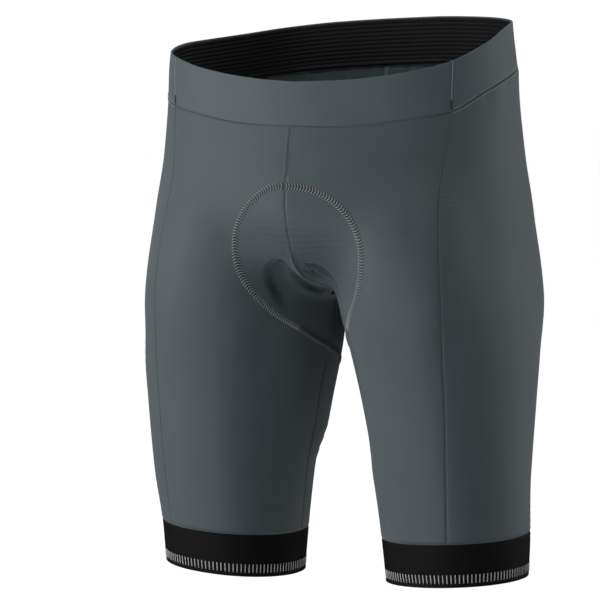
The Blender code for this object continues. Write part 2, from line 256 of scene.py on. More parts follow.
def thighAxis(height):
    height = np.asarray(height, float)
    thigh = form["thigh"]
    across, ahead = atHeight(thigh, "centreX", height), atHeight(thigh, "centreY", height)
    return np.stack([across, ahead, height], -1)


def thighPoint(degrees, height):
    degrees, height = np.broadcast_arrays(np.asarray(degrees, float), np.asarray(height, float))
    return cast(thighAxis(height), levelWay(degrees))


def mirrored(points):
    return points * np.array([-1.0, 1.0, 1.0])


def pathLength(points):
    return np.concatenate([[0], np.cumsum(np.linalg.norm(np.diff(points, axis=0), axis=1))])


def pathPoints(points, wanted):
    along = pathLength(points)
    return np.stack([np.interp(wanted, along, points[:, k]) for k in range(3)], -1)


def crowded(count):
    # places from 0 to 1, close together at both edges so that a seam's groove is well drawn
    turn = np.linspace(0, 2 * np.pi, count + 1)
    return (turn - mesh["crowding"] * np.sin(turn)) / (2 * np.pi)


def riseSeam(first, last, count=400):
    # the centre seam, by angles from the front down and round to the back
    angle = np.radians(np.linspace(first, last, count))
    start = np.tile(form["riseCentre"], (count, 1))
    return cast(start, np.stack([0 * angle, -np.cos(angle), -np.sin(angle)], -1))


crotch = cast(np.array([form["riseCentre"]]), np.array([[0.0, 0.0, -1.0]]))[0]


def hemLine(x):
    return hem["height"] + hem["bandHeight"] + hem["rise"] * (np.abs(x) - hem["centreX"])


# Laying out the panels

def centreEdge(topHeight, back):
    # down the rise seam to the crotch, then down the inseam to the hem band
    full = riseSeam(90.0, 230.0 if back else -50.0)
    stop = np.argmax(full[:, 2] > topHeight)
    share = (topHeight - full[stop - 1, 2]) / (full[stop, 2] - full[stop - 1, 2])
    end = full[stop - 1] + (full[stop] - full[stop - 1]) * share
    path = np.vstack([full[:stop], end])[::-1]
    rise = settle(pathPoints(path, np.linspace(0, pathLength(path)[-1], mesh["riseRows"] + 1)))
    rise[:, 0] = 0
    hemTop = hemLine(np.array([hem["centreX"] - mesh["inseamInset"]]))[0]
    heights = np.linspace(crotch[2], hemTop, mesh["legRows"] + 1)[1:]
    start = thighAxis(heights)
    ease = np.clip((crotch[2] - heights) / mesh["inseamEase"], 0, 1)
    start[:, 1] = crotch[1] * (1 - ease) + start[:, 1] * ease
    inseam = cast(start, np.tile([-1.0, 0.0, 0.0], (len(heights), 1)))
    return np.vstack([rise, inseam])


def sideEdge(column, topHeight):
    split = crotch[2] + mesh["sideSplit"]
    foot = hem["height"] + hem["bandHeight"]
    heights = np.concatenate([
        np.linspace(topHeight, split, mesh["riseRows"] + 1),
        np.linspace(split, foot, mesh["legRows"] + 1)[1:],
    ])
    edge = thighPoint(atHeight(sideSeams, column, heights), heights)
    lift = hemLine(edge[-1, 0]) - foot
    heights = heights + lift * np.clip((split - heights) / (split - foot), 0, 1) ** 3
    return thighPoint(atHeight(sideSeams, column, heights), heights)


def toThigh(points, wrap):
    off = points - thighAxis(points[..., 2])
    angle = np.degrees(np.arctan2(off[..., 0], -off[..., 1]))
    if wrap:
        angle = np.where(angle < 0, angle + 360, angle)
    return np.stack([angle, np.hypot(off[..., 0], off[..., 1]), points[..., 2]], -1)


def fromThigh(places):
    angle, reach, height = np.moveaxis(places, -1, 0)
    return thighAxis(height) + levelWay(angle) * reach[..., None]


def layPanel(top, bottom, first, last, wrap):
    # a grid between four edges, laid on the form
    top, bottom, first, last = (toThigh(edge, wrap) for edge in (top, bottom, first, last))
    v = np.linspace(0, 1, len(first))[:, None, None]
    u = crowded(len(top) - 1)[None, :, None]
    places = (1 - v) * top + v * bottom + (1 - u) * first[:, None] + u * last[:, None]
    corners = (1 - v) * ((1 - u) * top[0] + u * top[-1]) + v * ((1 - u) * bottom[0] + u * bottom[-1])
    return settle(fromThigh(places - corners), 8)


def hemRow(first, last, columns, wrap):
    ends = toThigh(np.stack([first, last]), wrap)
    degrees = ends[0, 0] + (ends[1, 0] - ends[0, 0]) * crowded(columns)
    heights = np.full(columns + 1, hem["height"] + hem["bandHeight"])
    for _ in range(3):
        # the hem's slope depends on the place, and the place on the height
        row = thighPoint(degrees, heights)
        heights = hemLine(row[:, 0])
    row[0], row[-1] = first, last
    return row


def halfPanels(side):
    # front, side and back grid of one half, with the waistband seam's angles
    name = "left" if side > 0 else "right"
    centreFront = centreEdge(around("seam", 0), False)
    centreBack = centreEdge(around("seam", 180), True)
    corners = []
    for column, guess in ((name + "Front", 60.0), ("back", 118.0)):
        angle = guess
        for _ in range(8):
            height = around("seam", side * angle)
            angle = waistAngle(thighPoint(atHeight(sideSeams, column, height), height))
        corners.append((float(angle), float(height)))
    frontSeam = sideEdge(name + "Front", corners[0][1])
    backSeam = sideEdge("back", corners[1][1])
    layout = (
        ("front", 0.0, corners[0][0], mesh["frontColumns"], centreFront, frontSeam, False),
        ("side", corners[0][0], corners[1][0], mesh["sideColumns"], frontSeam, backSeam, False),
        ("back", corners[1][0], 180.0, mesh["backColumns"], backSeam, centreBack, True),
    )
    grids, angles = {}, {}
    for piece, start, end, columns, first, last, wrap in layout:
        degrees = start + (end - start) * crowded(columns)
        top = waistPoint(side * degrees, around("seam", side * degrees))
        top = top if side > 0 else mirrored(top)
        top[0], top[-1] = first[0], last[0]
        bottom = hemRow(first[-1], last[-1], columns, wrap)
        grid = layPanel(top, bottom, first, last, wrap)
        grid[0], grid[-1], grid[:, 0], grid[:, -1] = top, bottom, first, last
        if side < 0:
            # the right leg has ridden up a little at its outside
            hemTop = hem["height"] + hem["bandHeight"]
            near = np.clip((hemTop + hem["tiltReach"] - grid[..., 2]) / hem["tiltReach"], 0, 1)
            grid[..., 2] += hem["rightTilt"] * (grid[..., 0] - hem["centreX"]) * near**2
            grid = np.where((near > 0)[..., None], settle(grid, 2), grid)
        grids[piece] = grid if side > 0 else mirrored(grid)
        angles[piece] = degrees
    return grids, angles


halves = {side: halfPanels(side) for side in (1, -1)}
print("panels laid out")


# Folds listed one by one, in millimetres: height (a trough is negative), width, the share of
# the height repeated on the other side, and the path over the cloth
folds = [
    # beside the rise seam, running in under the crotch
    (2.2, 3.0, 0, [(-1, -131, -185), (-1.5, -110, -217), (-2, -88, -228), (-4, -58, -236),
        (-2, -30, -241)]),
    (3.2, 4.4, 0, [(-23, -112, -214), (-19, -101, -223), (-18, -82, -232), (-15, -60, -240),
        (-11, -42, -244), (-7, -22, -246), (-4, 4, -247)]),
    (-2.4, 4.0, 0, [(-13, -106, -219), (-11, -88, -229), (-10, -66, -237), (-8, -45, -242),
        (-6, -24, -245)]),
    (2.0, 2.6, 0, [(10, -115, -212), (13, -101, -221), (18, -86, -231), (24, -78, -238)]),
    (-2.4, 3.2, 0, [(19, -113, -213), (24, -103, -222), (27, -92, -232), (28, -84, -240)]),
    (-1.8, 2.6, 0, [(6, -112, -215), (8, -96, -225), (12, -78, -234)]),
    # soft pulls from the hollow out over the thighs
    (1.0, 13, 0.8, [(-46, -104, -246), (-62, -100, -268), (-84, -96, -296)]),
    (-1.2, 12, 0.9, [(-38, -84, -268), (-50, -80, -296), (-62, -78, -330)]),
    (0.7, 16, 1.2, [(-64, -128, -190), (-92, -124, -178), (-122, -108, -170)]),
    # under the seat, behind
    (-2.2, 10, 0.85, [(-12, 112, -212), (-34, 122, -224), (-64, 134, -226), (-96, 136, -220)]),
    (1.6, 10, 0.8, [(-16, 96, -226), (-40, 108, -246), (-72, 124, -256)]),
    (-1.4, 11, 1.0, [(-22, 84, -238), (-44, 92, -266), (-70, 104, -286)]),
    (-2.0, 5, 0.8, [(-3, 118, -205), (-6, 100, -222), (-6, 70, -236), (-4, 40, -243)]),
    # long soft swells of the legs, fuller on the right thigh
    (3.2, 42, 0, [(-192, -48, -270), (-193, -40, -320), (-190, -33, -400), (-186, -22, -490)]),
    (7.6, 29, 0, [(-8, 20, -249), (-21, 28, -290), (-28, 38, -330), (-35, 36, -370),
        (-45, 34, -430)]),
    (3.2, 27, 0, [(136, -96, -112), (144, -103, -150), (148, -112, -200), (145, -116, -250),
        (138, -112, -310)]),
    # the thick front of the pad pushes the cloth out a little, down its middle
    (2.4, 22, 0, [(0, -138, -118), (0, -138, -150), (0, -132, -185), (0, -117, -210),
        (0, -97, -223)]),
    # and the whole front is a little keeled down the middle, from the waist to the crotch
    (3.4, 54, 0, [(0, -121, 25), (0, -123, -40), (0, -131, -95), (0, -138, -135), (0, -137, -165),
        (0, -128, -195), (0, -108, -217)]),
    # the left leg is drawn in at its inner side, and behind its outer side
    (-3.0, 25, 0, [(37, -78, -274), (38, -71, -294), (42, -60, -330), (47, -50, -380),
        (52, -42, -430)]),
    (-3.2, 44, 0, [(192, 60, -240), (194, 53, -300), (190, 43, -400), (185, 40, -500)]),
    # slight rings round the back of the legs, above the hems
    (0.9, 11, 0.7, [(-80, 96, -430), (-110, 104, -438), (-146, 92, -432)]),
    (-0.9, 10, 0.8, [(-74, 88, -462), (-104, 98, -458), (-134, 92, -466)]),
]
# The cloth drops in under the thick front of the pad, inside an edge on each thigh
hollow = {
    "right": [(-4, -122, -203), (-20, -120, -205), (-30, -116, -211), (-38, -109, -222),
              (-40, -101, -235), (-37, -92, -248), (-33, -80, -260), (-29, -66, -271)],
    "left": [(6, -118, -207), (15, -117, -208), (24, -114, -212), (31, -109, -219),
             (35, -102, -228), (35, -93, -240), (34, -84, -258)],
    "middle": (0, -66, -256),
    "depth": 7.5,
    "step": 10.0,
    "recover": 36.0,
    "blend": 4.0,
    "fadeIn": 5,
    "fadeOut": 3,
}
# the share of its length in which a fold fades at each end is one over this
foldFade = 3.5


def alongPath(path, count=40):
    # a smooth path over the cloth through a fold's points
    path = np.array(path, float)
    along = pathLength(path)
    wanted = np.linspace(0, along[-1], count)
    return settle(np.stack([smoothCurve(along, path[:, k], wanted) for k in range(3)], -1))


def nearest(points, path):
    # distance to a path, and the number of its nearest point
    flat = points.reshape(-1, 3)
    best, index = np.full(len(flat), 1e9), np.zeros(len(flat), int)
    for k, place in enumerate(path):
        away = np.linalg.norm(flat - place, axis=-1)
        closer = away < best
        best[closer], index[closer] = away[closer], k
    return best.reshape(points.shape[:-1]), index.reshape(points.shape[:-1])


def easeIn(x):
    x = np.clip(x, 0, 1)
    return x * x * (3 - 2 * x)


foldPaths = []
for height, width, repeat, places in folds:
    path = alongPath(places)
    foldPaths.append((path, height, width))
    if repeat:
        foldPaths.append((mirrored(path), height * repeat, width))
hollowEdges = [(-1, alongPath(hollow["right"], 60)), (1, alongPath(hollow["left"], 60))]


def relief(points):
    # how far the cloth stands out from the plain form, in millimetres
    out = np.zeros(points.shape[:-1])
    for path, height, width in foldPaths:
        away, index = nearest(points, path)
        along = index / (len(path) - 1)
        fade = easeIn(along * foldFade) * easeIn((1 - along) * foldFade)
        out += height * fade * np.exp(-((away / width) ** 2))
    for side, edge in hollowEdges:
        away, index = nearest(points, edge)
        along = index / (len(edge) - 1)
        tangent = np.gradient(edge, axis=0)
        inside = np.array(hollow["middle"]) - edge
        inside -= tangent * ((inside * tangent).sum(-1) / (tangent**2).sum(-1))[:, None]
        within = ((points - edge[index]) * inside[index]).sum(-1) > 0
        same = easeIn((side * points[..., 0] + hollow["blend"]) / (2 * hollow["blend"]))
        fade = easeIn(along * hollow["fadeIn"]) * easeIn((1 - along) * hollow["fadeOut"])
        sink = easeIn(away / hollow["step"]) * (1 - easeIn((away - hollow["step"]) / hollow["recover"]))
        out -= hollow["depth"] * fade * sink * within * same
    return out


# Puckers where the elastic draws in the back panels, uneven in width
pucker = {
    "from": 64.0,
    "easing": 12.0,
    "reach": 13.0,
    "height": 0.9,
    "radiansPerDegree": 0.56842,
    "lowest": -140.0,
    # each wave's rate against the first, its share and its start
    "waves": ((1.0, 1.0, 0.0), (1.71, 0.6, 1.3), (0.43, 0.4, 0.4)),
}


def puckers(points):
    angle = waistAngle(points) % 360
    below = around("seam", angle) - points[..., 2]
    back = easeIn((np.minimum(angle, 360 - angle) - pucker["from"]) / pucker["easing"])
    beat = angle * pucker["radiansPerDegree"]
    wave = sum(share * np.sin(beat * rate + start) for rate, share, start in pucker["waves"])
    fall = easeIn(below / 4) * np.exp(-np.maximum(below, 0) / pucker["reach"])
    return pucker["height"] * wave * fall * back * (points[..., 2] > pucker["lowest"])


def onCloth(points, lift=0.0):
    # points of the form moved onto the folded cloth, and out from it
    return points + outward(points) * (relief(points) + puckers(points) + lift)[..., None]


# Materials

class Socket:
    # wraps a shader socket so that maths reads as maths
    def __init__(self, tree, link):
        self.tree, self.link = tree, link

    def maths(self, operation, *values):
        node = self.tree.nodes.new("ShaderNodeMath")
        node.operation = operation
        for slotIn, value in zip(node.inputs, values):
            if isinstance(value, Socket):
                self.tree.links.new(value.link, slotIn)
            else:
                slotIn.default_value = value
        return Socket(self.tree, node.outputs[0])

    def __add__(self, other):
        return self.maths("ADD", self, other)

    def __radd__(self, other):
        return self.maths("ADD", other, self)

    def __sub__(self, other):
        return self.maths("SUBTRACT", self, other)

    def __rsub__(self, other):
        return self.maths("SUBTRACT", other, self)

    def __mul__(self, other):
        return self.maths("MULTIPLY", self, other)

    def __rmul__(self, other):
        return self.maths("MULTIPLY", other, self)


class Finish:
    # a material and a short way to add its nodes
    def __init__(self, name, roughness, **plain):
        self.material = bpy.data.materials.new(name)
        self.material.use_nodes = True
        self.tree = self.material.node_tree
        self.shader = self.tree.nodes["Principled BSDF"]
        self.shader.inputs["Roughness"].default_value = roughness
        self.shader.inputs["Metallic"].default_value = 0.0
        for socketName, value in plain.items():
            self.shader.inputs[socketName.replace("_", " ")].default_value = value

    def node(self, kind, settings=None, out=0, **values):
        made = self.tree.nodes.new("ShaderNode" + kind)
        for key, value in (settings or {}).items():
            setattr(made, key, value)
        for key, value in values.items():
            byNumber = key[0] == "i" and key[1:].isdigit()
            slotIn = made.inputs[int(key[1:]) if byNumber else key]
            if isinstance(value, Socket):
                self.tree.links.new(value.link, slotIn)
            else:
                slotIn.default_value = value
        return Socket(self.tree, made.outputs[out])

    def feed(self, name, value):
        self.tree.links.new(value.link, self.shader.inputs[name])

    def uv(self):
        # distance along the cloth in metres: across the wales and down the courses
        places = self.node("UVMap", {"uv_map": "cloth"})
        parts = self.tree.nodes.new("ShaderNodeSeparateXYZ")
        self.tree.links.new(places.link, parts.inputs[0])
        return Socket(self.tree, parts.outputs[0]), Socket(self.tree, parts.outputs[1])

    def wave(self, along, pitch):
        return self.node("Math", {"operation": "SINE"}, i0=along * (2 * math.pi / pitch))

    def mix(self, share, first, second):
        made = self.tree.nodes.new("ShaderNodeMix")
        made.data_type = "RGBA"
        for index, value in ((0, share), (6, first), (7, second)):
            if isinstance(value, Socket):
                self.tree.links.new(value.link, made.inputs[index])
            else:
                made.inputs[index].default_value = value if index == 0 else (*value, 1.0)
        return Socket(self.tree, made.outputs[2])

    def ease(self, value, start, end, first, last):
        # from one value to another over a stretch
        kind = {"interpolation_type": "SMOOTHSTEP"}
        return self.node("MapRange", kind, i0=value, i1=start, i2=end, i3=first, i4=last)

    def above(self, value, limit):
        return self.node("Math", {"operation": "GREATER_THAN"}, i0=value, i1=limit)

    def bump(self, height, strength, distance):
        self.feed("Normal", self.node("Bump", Strength=strength, Distance=distance, Height=height))


jersey = {
    "colour": (0.078, 0.098, 0.108),
    "deep": (0.056, 0.071, 0.079),
    "walePitch": 0.00062,
    "coursePitch": 0.00048,
    "roughness": 0.58,
    "thickness": 0.8,
}


def jerseyFinish(name, lift=1.0):
    # a fine warp knit: wales down the cloth, courses across it, a faint mottle
    finish = Finish(name, jersey["roughness"], Sheen_Weight=0.35, Sheen_Roughness=0.45)
    finish.shader.inputs["Sheen Tint"].default_value = (0.75, 0.85, 0.9, 1.0)
    finish.shader.inputs["Specular IOR Level"].default_value = 0.32
    across, down = finish.uv()
    wales = finish.wave(across, jersey["walePitch"])
    courses = finish.wave(down, jersey["coursePitch"])
    knit = wales * 0.6 + wales * courses * 0.4
    place = finish.node("TexCoord", out=3)
    mottle = finish.node("TexNoise", Vector=place, Scale=38.0, Detail=5.0, Roughness=0.6)
    shade = knit * 0.16 + mottle * 0.7 + 0.1
    colour = finish.mix(
        shade,
        tuple(part * lift for part in jersey["deep"]),
        tuple(part * lift for part in jersey["colour"]),
    )
    finish.feed("Base Color", colour)
    finish.feed("Roughness", 0.5 + mottle * 0.18)
    finish.bump(knit, 0.25, 0.00008)
    return finish.material


def elasticFinish(name, colour, pitch):
    finish = Finish(name, 0.72)
    finish.shader.inputs["Specular IOR Level"].default_value = 0.12
    across, down = finish.uv()
    cords = finish.wave(across, pitch)
    rows = finish.wave(down, pitch * 0.8)
    weave = cords * 0.7 + cords * rows * 0.3
    place = finish.node("TexCoord", out=3)
    mottle = finish.node("TexNoise", Vector=place, Scale=60.0, Detail=4.0)
    dark = tuple(0.55 * part for part in colour)
    finish.feed("Base Color", finish.mix(weave * 0.2 + mottle * 0.6, dark, colour))
    finish.feed("Roughness", 0.62 + mottle * 0.2)
    finish.bump(weave, 0.35, 0.0001)
    return finish.material


def threadFinish(name, colour):
    finish = Finish(name, 0.6, Sheen_Weight=0.3)
    place = finish.node("TexCoord", out=3)
    fuzz = finish.node("TexNoise", Vector=place, Scale=900.0, Detail=3.0)
    finish.feed("Base Color", finish.mix(fuzz, tuple(0.7 * part for part in colour), colour))
    finish.bump(fuzz, 0.3, 0.0001)
    return finish.material


# Making cloth

def addPiece(name, data):
    piece = bpy.data.objects.new(name, data)
    bpy.context.scene.collection.objects.link(piece)
    return piece


def finishMesh(name, shape, material):
    data = bpy.data.meshes.new(name)
    shape.to_mesh(data)
    shape.free()
    data.materials.append(material)
    return data


def clothUv(data, points):
    # distances along the cloth from the grid's middle, in metres
    across = np.zeros(points.shape[:2])
    across[:, 1:] = np.cumsum(np.linalg.norm(np.diff(points, axis=1), axis=-1), axis=1)
    across -= across[:, across.shape[1] // 2][:, None]
    down = np.zeros(points.shape[:2])
    down[1:] = np.cumsum(np.linalg.norm(np.diff(points, axis=0), axis=-1), axis=0)
    flat = np.stack([across, down], -1).reshape(-1, 2) * mm
    corners = np.zeros(len(data.loops), int)
    data.loops.foreach_get("vertex_index", corners)
    data.uv_layers.new(name="cloth").data.foreach_set("uv", flat[corners].ravel())


def clothSheet(name, points, thickness, material, flip=False, rim=0.0):
    # an open grid moved onto its points, with its thickness laid inwards
    rows, columns = points.shape[:2]
    shape = bmesh.new()
    bmesh.ops.create_grid(shape, x_segments=columns - 1, y_segments=rows - 1, size=0.5)
    data = finishMesh(name, shape, material)
    data.vertices.foreach_set("co", (points * mm).ravel())
    data.update()
    clothUv(data, points)
    middle = data.polygons[len(data.polygons) // 2]
    centre = np.array(middle.center) / mm
    facing = float(np.dot(np.array(middle.normal), outward(centre[None])[0]))
    if (facing < 0) != flip:
        data.flip_normals()
    data.shade_smooth()
    piece = addPiece(name, data)
    solid = piece.modifiers.new("thickness", "SOLIDIFY")
    solid.thickness = thickness * mm
    solid.offset = -1.0
    solid.use_even_offset = False
    if rim:
        edge = piece.modifiers.new("rolled edge", "BEVEL")
        edge.width = rim * mm
        edge.segments = 3
        edge.limit_method = "ANGLE"
        edge.angle_limit = math.radians(60)
    return piece


def sheetSize(points):
    # width and length of the cut piece, as it lies along its own threads, and its area
    widths = np.linalg.norm(np.diff(points, axis=1), axis=-1).sum(1)
    lengths = np.linalg.norm(np.diff(points, axis=0), axis=-1).sum(0)
    a, b = points[1:, 1:] - points[:-1, :-1], points[1:, :-1] - points[:-1, 1:]
    area = np.linalg.norm(np.cross(a, b), axis=-1).sum() / 2
    return float(widths.max()) * mm, float(lengths.max()) * mm, float(area) * mm * mm


def dress(piece, points, node):
    # says what the piece stands for and the size of its cut
    width, length, area = sheetSize(points)
    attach(piece, "root")
    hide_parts(node)
    print(f"{node}: cut {width * 1000:.0f} by {length * 1000:.0f} mm, {area * 10000:.0f} cm2")


seam = {"gap": 0.12, "depth": 0.55, "width": 1.3}


def openSeams(grid, edges=("top", "bottom", "first", "last")):
    opened = grid.copy()
    lines = {
        "top": (np.s_[0, :], np.s_[1, :]),
        "bottom": (np.s_[-1, :], np.s_[-2, :]),
        "first": (np.s_[:, 0], np.s_[:, 1]),
        "last": (np.s_[:, -1], np.s_[:, -2]),
    }
    for edge in edges:
        line, inner = lines[edge]
        way = grid[inner] - grid[line]
        opened[line] = opened[line] + way / np.linalg.norm(way, axis=-1, keepdims=True) * seam["gap"]
    return opened


def seamGroove(grid, edges):
    # how far each point sinks towards the nearest named edge's seam
    sink = np.zeros(grid.shape[:2])
    lines = {"top": grid[0], "bottom": grid[-1], "first": grid[:, 0], "last": grid[:, -1]}
    for edge in edges:
        line = lines[edge]
        span = line[None, :] if edge in ("top", "bottom") else line[:, None]
        away = np.linalg.norm(grid - span, axis=-1)
        sink = np.maximum(sink, seam["depth"] * np.exp(-((away / seam["width"]) ** 2)))
    return sink


mainFabric = jerseyFinish("grey stretch jersey")
bandFabric = jerseyFinish("grey folded jersey", 1.12)


def makePanels():
    for side, sideName in ((1, "left"), (-1, "right")):
        for piece, grid in halves[side][0].items():
            edges = ("top", "bottom", "first", "last")
            points = openSeams(onCloth(grid))
            points = points - outward(grid) * seamGroove(grid, edges)[..., None]
            node = f"{piece}_panel_{sideName}"
            shell = clothSheet(f"{node}_cloth", points, jersey["thickness"], mainFabric)
            dress(shell, points, node)


makePanels()
print("panels made")

band = {"lean": -1.5, "rows": 26, "thickness": 1.7, "topRoll": 0.5}


def bandAngles(part):
    left, right = halves[1][1], halves[-1][1]
    if part == "front":
        return np.concatenate([-right["front"][::-1], left["front"][1:]])
    rightHand = [360 - right[piece][::-1][1:] for piece in ("back", "side")]
    return np.concatenate([left["side"], left["back"][1:], *rightHand])


def bandLean(part, angles):
    # the seams at the sides lean forward a little towards the top edge
    left, right = halves[1][1]["front"][-1], halves[-1][1]["front"][-1]
    if part == "front":
        return angles * (1 - band["lean"] / np.where(angles > 0, left, right))
    widest = np.where(angles < 180, 180 - left, 180 - right)
    return 180 + (angles - 180) * (1 + band["lean"] / widest)


def bandGrid(part, drop, height, shares):
    # height None runs down to the waistband seam
    angles = bandAngles(part)
    leaned = bandLean(part, angles)
    rows = []
    for share in shares:
        if height is None:
            degrees = angles + (leaned - angles) * (1 - share)
            top = around("edge", degrees) - drop
            level = top + (around("seam", degrees) - top) * share
        else:
            degrees = leaned + (angles - leaned) * share
            level = around("edge", degrees) - drop - height * share
        rows.append(waistPoint(degrees, level))
    return np.stack(rows)


def makeWaistband():
    for part in ("front", "back"):
        grid = bandGrid(part, 0.0, None, np.linspace(0, 1, band["rows"] + 1))
        points = openSeams(onCloth(grid), ("bottom", "first", "last"))
        points = points - outward(grid) * seamGroove(grid, ("bottom", "first", "last"))[..., None]
        node = f"waistband_{part}"
        shell = clothSheet(f"{node}_cloth", points, band["thickness"], bandFabric, rim=band["topRoll"])
        dress(shell, points, node)


elastic = {
    "drop": 1.5,
    "height": 46.0,
    "behind": 2.9,
    "thickness": 0.9,
    "ribs": 11,
    "ribHeight": 0.75,
    "ribFullness": 0.7,
    "rowsPerRib": 8,
    "colour": (0.019, 0.019, 0.02),
    "cordPitch": 0.0009,
    "zigzagShares": (0.9, 0.97),
    "zigzagPitch": 2.6,
    "zigzagRadius": 0.22,
}
gripper = {"colour": (0.0062, 0.0062, 0.0066), "cordPitch": 0.0008}


def makeElastic():
    shares = np.linspace(0, 1, elastic["ribs"] * elastic["rowsPerRib"] + 1)
    grid = bandGrid("back", elastic["drop"], elastic["height"], shares)
    wave = (0.5 - 0.5 * np.cos(shares * elastic["ribs"] * 2 * np.pi)) ** elastic["ribFullness"]
    depth = elastic["behind"] + elastic["ribHeight"] * wave
    points = openSeams(grid, ("first", "last")) - outward(grid) * depth[:, None, None]
    material = elasticFinish("black ribbed elastic", elastic["colour"], elastic["cordPitch"])
    shell = clothSheet("waist_elastic_ribbed", points, elastic["thickness"], material, flip=True)
    dress(shell, points, "waist_elastic")


def legEnd(side):
    # the seam over a hem band, as if on the left leg, and its angles round the thigh
    grids = halves[side][0]
    top = np.concatenate([grids["front"][-1], grids["side"][-1][1:], grids["back"][-1][1:]])
    top = top if side > 0 else mirrored(top)
    return top, np.degrees(np.unwrap(np.radians(toThigh(top, False)[:, 0])))


def makeHemBands():
    material = elasticFinish("black leg gripper", gripper["colour"], gripper["cordPitch"])
    for side, sideName in ((1, "left"), (-1, "right")):
        top, degrees = legEnd(side)
        drops = hem["bandHeight"] * np.linspace(0, 1, hem["bandRows"])[1:]
        rows = [top] + [thighPoint(degrees, top[:, 2] - drop) for drop in drops]
        grid = np.stack(rows)
        grid = grid if side > 0 else mirrored(grid)
        points = openSeams(onCloth(grid), ("top", "first", "last"))
        points = points - outward(grid) * seamGroove(grid, ("top", "first", "last"))[..., None]
        name = f"hem_band_{sideName}_cloth"
        shell = clothSheet(name, points, hem["thickness"], material, rim=hem["edgeRoll"])
        dress(shell, points, f"hem_band_{sideName}")


makeWaistband()
makeElastic()
makeHemBands()
print("bands made")

pad = {
    "start": 132.0,
    "behind": 1.6,
    "thickness": 9.0,
    "edge": 1.6,
    "rows": 150,
    "columns": 44,
    "outline": table(
        "along halfWidth fullness",
        (0, 14, 0.15),
        (12, 38, 0.35),
        (40, 57, 0.6),
        (75, 61, 0.8),
        (120, 54, 1.0),
        (165, 50, 1.0),
        (205, 64, 1.0),
        (245, 90, 0.9),
        (280, 99, 0.8),
        (308, 86, 0.5),
        (328, 60, 0.3),
        (340, 26, 0.15),
    ),
    # grooves between the lobes: along the pad, and how they bow towards the sides
    "grooves": table(
        "along bow depth width",
        (104, 26, 0.34, 4.0),
        (176, -14, 0.28, 3.5),
        (236, 20, 0.34, 4.0),
    ),
    "channel": {"from": 66.0, "to": 312.0, "easing": 24.0, "halfWidth": 7.5, "depth": 0.5},
    "sideChannel": {"share": 0.64, "width": 0.055, "depth": 0.3},
    "flange": 8.0,
}


def walkOut(stations, reach):
    # places on the cloth reached by walking sideways from the rise seam
    path = riseSeam(-40.0, 200.0, 600)
    along = pathLength(path)
    start = along[np.argmin(np.abs(path[:300, 2] + pad["start"]))]
    here = settle(pathPoints(path, start + stations))
    way = np.tile([1.0, 0.0, 0.0], (len(stations), 1))
    walked = [here]
    for _ in range(pad["columns"]):
        before = here
        here = settle(before + way * (reach / pad["columns"])[:, None], 2)
        way = here - before
        way /= np.linalg.norm(way, axis=-1, keepdims=True) + 1e-9
        walked.append(here)
    return np.stack(walked, 1)


def padGrid():
    outline = pad["outline"]
    turn = np.linspace(0, 2 * np.pi, pad["rows"] + 1)
    stations = outline["along"][-1] * (turn - 0.6 * np.sin(turn)) / (2 * np.pi)
    halfWidth = smoothCurve(outline["along"], outline["halfWidth"], stations)
    half = walkOut(stations, halfWidth)
    half[:, 0, 0] = 0
    return np.concatenate([mirrored(half[:, :0:-1]), half], 1), stations, halfWidth


def padDepth(stations, halfWidth):
    # lobes with channels and grooves between them, thin at the flange
    outline, channel, side = pad["outline"], pad["channel"], pad["sideChannel"]
    share = np.abs(np.linspace(-1, 1, 2 * pad["columns"] + 1))[None, :]
    across = share * halfWidth[:, None]
    along = stations[:, None]
    full = smoothCurve(outline["along"], outline["fullness"], stations)[:, None]
    lobe = full * (1 - share**4) * easeIn((halfWidth[:, None] - across) / pad["flange"])
    starting, ending = along - channel["from"], channel["to"] - along
    window = easeIn(starting / channel["easing"]) * easeIn(ending / channel["easing"])
    lobe = lobe * (1 - channel["depth"] * window * np.exp(-((across / channel["halfWidth"]) ** 2)))
    beside = (share - side["share"]) / side["width"]
    lobe = lobe * (1 - side["depth"] * window * np.exp(-(beside**2)))
    grooves = pad["grooves"]
    for place, bow, depth, width in zip(*(grooves[key] for key in ("along", "bow", "depth", "width"))):
        away = along - place - bow * share**2
        lobe = lobe * (1 - depth * np.exp(-((away / width) ** 2)))
    return pad["edge"] + (pad["thickness"] - pad["edge"]) * lobe


# distances over the pad in metres, and shares of each tone
foam = {
    "green": (0.016, 0.36, 0.125),
    "sides": (0.006, 0.13, 0.05),
    "channel": (0.008, 0.19, 0.07),
    "line": (0.12, 0.62, 0.33),
    "hole": (0.003, 0.05, 0.02),
    "channelEdge": (0.007, 0.011),
    "channelStart": (0.06, 0.075),
    "sideEdge": (0.034, 0.06),
    "seatStart": (0.17, 0.25),
    "sideShare": 0.35,
    "seatShare": 0.45,
    "holePitch": 0.0056,
    "holeLimit": 0.62,
    "linePitch": 0.0105,
    "lineLimit": 0.965,
    "lineBow": 3.4,
}


